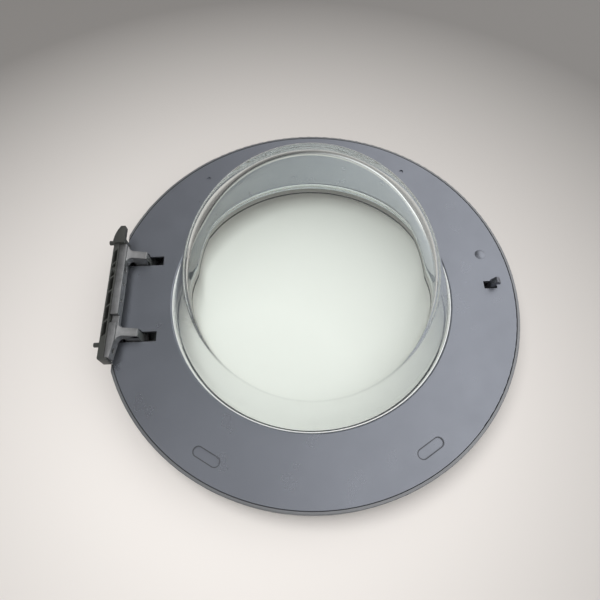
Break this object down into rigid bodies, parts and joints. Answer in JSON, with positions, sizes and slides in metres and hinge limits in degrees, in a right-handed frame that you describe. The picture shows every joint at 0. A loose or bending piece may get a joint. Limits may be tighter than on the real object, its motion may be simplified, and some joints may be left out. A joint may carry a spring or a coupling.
{
  "type": "washing machine door",
  "caption": "Round porthole door of a front-loading washing machine: ring frame, slanted glass bowl, cast gooseneck hinge and sprung latch hook.",
  "frame": {"origin": "on the door's axis, in the plane of the front face", "axes": "+Z along the door's axis towards the drum, +X towards the latch, -X towards the hinge"},
  "size_m": [0.45, 0.45, 0.1588],
  "materials": {
    "frame_plastic": "satin",
    "ring_plastic": "satin",
    "bowl_glass": "gloss",
    "pressed_steel": "satin",
    "zinc_steel": "satin",
    "carrier_plastic": "matte",
    "cast_aluminium": "satin",
    "bush_plastic": "matte",
    "cover_plastic": "matte",
    "hook_metal": "satin"
  },
  "bodies": {
    "door": {"outer_frame": "frame_plastic", "inner_frame": "ring_plastic", "door_glass": "bowl_glass", "hinge_carrier": "pressed_steel", "hinge_carrier_screws": "zinc_steel", "hinge_pin": "zinc_steel", "hinge_pin_clips": "zinc_steel", "latch_carrier": "carrier_plastic", "latch_carrier_screws": "zinc_steel", "hook_pin": "zinc_steel", "hook_spring": "zinc_steel"},
    "hinge": {"hinge_bracket": "cast_aluminium", "hinge_bush_upper": "bush_plastic", "hinge_bush_lower": "bush_plastic", "hinge_cover": "cover_plastic"},
    "hook": {"latch_hook": "hook_metal"}
  },
  "joints": [
    {"name": "hinge_swing", "type": "hinge", "parent": "door", "child": "hinge", "pos_m": [-0.1907, 0, 0.0328], "axis": [0, 1, 0], "range_deg": [-15, 90]},
    {"name": "hook_swing", "type": "hinge", "parent": "door", "child": "hook", "pos_m": [0.198, 0, 0.026], "axis": [0, -1, 0], "range_deg": [0, 20], "stiffness_Nm_per_rad": 0.02}
  ]
}
